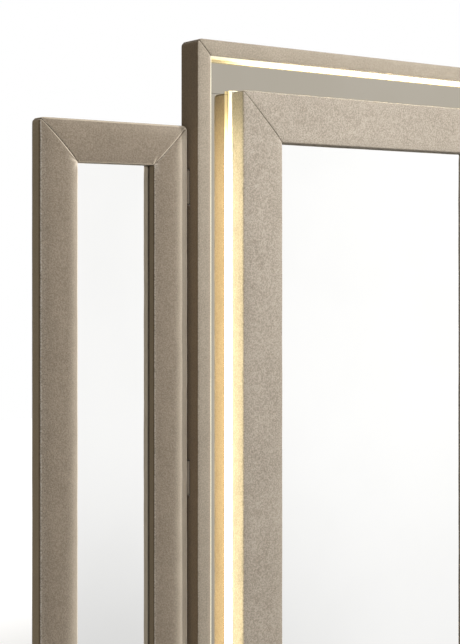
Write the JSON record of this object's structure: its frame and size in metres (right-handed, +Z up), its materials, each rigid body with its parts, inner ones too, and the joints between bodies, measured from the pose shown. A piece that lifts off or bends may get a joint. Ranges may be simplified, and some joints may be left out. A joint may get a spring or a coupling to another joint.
{
  "type": "lighted makeup mirror",
  "caption": "Upholstered vanity mirror: a tall lit centre panel with a proud padded inner frame and a recessed tinted mirror border, between two hinged wing mirrors.",
  "frame": {"origin": "middle of the footprint, on the surface that the mirror stands on, with the wings open flat", "axes": "+X to the right of someone looking into the mirror, +Y to the back, +Z up"},
  "size_m": [1.282, 0.1, 1.23],
  "materials": {
    "velvet": "taupe velvet over foam padding",
    "clear_mirror": "clear silvered float glass",
    "tinted_mirror": "warm grey tinted mirror strips",
    "opal_lens": "opal lens, lit warm white when on",
    "timber": "planed softwood",
    "board": "dark painted fibreboard",
    "hardboard": "brown hardboard",
    "channel_aluminium": "mill finish extrusion",
    "light_tape": "white flexible tape",
    "box_plastic": "black moulded plastic",
    "circuit_board": "green board with driver parts",
    "button_plastic": "black push button",
    "inlet_metal": "nickel plated socket",
    "lead_sheath": "black twin lead",
    "bracket_steel": "black powder coated steel",
    "pad_rubber": "black rubber",
    "hinge_bronze": "dark bronze plated steel",
    "screw_steel": "zinc plated"
  },
  "bodies": {
    "centre_panel": {"accent_mirror_bottom": "tinted_mirror", "accent_mirror_left": "tinted_mirror", "accent_mirror_right": "tinted_mirror", "accent_mirror_top": "tinted_mirror", "back_board": "board", "back_screws": "screw_steel", "base_pads": "pad_rubber", "driver_box": "box_plastic", "driver_box_lid": "box_plastic", "driver_circuit_board": "circuit_board", "fixing_brackets": "bracket_steel", "hinge_frame_leaves": "hinge_bronze", "hinge_pins": "hinge_bronze", "inner_cover_bottom": "velvet", "inner_cover_left": "velvet", "inner_cover_right": "velvet", "inner_cover_top": "velvet", "inner_frame_core": "timber", "inner_light_lens_bottom": "opal_lens", "inner_light_lens_left": "opal_lens", "inner_light_lens_right": "opal_lens", "inner_light_lens_top": "opal_lens", "light_channels": "channel_aluminium", "light_leads": "lead_sheath", "light_tapes": "light_tape", "main_mirror": "clear_mirror", "main_mirror_backing": "hardboard", "mirror_battens": "timber", "outer_cover_bottom": "velvet", "outer_cover_left": "velvet", "outer_cover_right": "velvet", "outer_cover_top": "velvet", "outer_frame_core": "timber", "outer_light_lens_bottom": "opal_lens", "outer_light_lens_left": "opal_lens", "outer_light_lens_right": "opal_lens", "outer_light_lens_top": "opal_lens", "power_inlet": "inlet_metal", "small_screws": "screw_steel"},
    "left_wing": {"left_wing_back_board": "board", "left_wing_core": "timber", "left_wing_cover_bottom": "velvet", "left_wing_cover_hinge_side": "velvet", "left_wing_cover_outer": "velvet", "left_wing_cover_top": "velvet", "left_wing_hinge_leaves": "hinge_bronze", "left_wing_mirror": "clear_mirror", "left_wing_screws": "screw_steel"},
    "right_wing": {"right_wing_back_board": "board", "right_wing_core": "timber", "right_wing_cover_bottom": "velvet", "right_wing_cover_hinge_side": "velvet", "right_wing_cover_outer": "velvet", "right_wing_cover_top": "velvet", "right_wing_hinge_leaves": "hinge_bronze", "right_wing_mirror": "clear_mirror", "right_wing_screws": "screw_steel"},
    "power_button": {"power_button": "button_plastic"}
  },
  "joints": [
    {"name": "left_wing_hinge", "type": "hinge", "parent": "centre_panel", "child": "left_wing", "pos_m": [-0.3815, -0.0148, 0.5495], "axis": [0, 0, 1], "range_deg": [0, 75]},
    {"name": "right_wing_hinge", "type": "hinge", "parent": "centre_panel", "child": "right_wing", "pos_m": [0.3815, -0.0148, 0.5495], "axis": [0, 0, -1], "range_deg": [0, 75]},
    {"name": "power_button_push", "type": "slide", "parent": "centre_panel", "child": "power_button", "axis": [0, -1, 0], "range_m": [0, 0.0015], "stiffness_N_per_m": 1200}
  ]
}
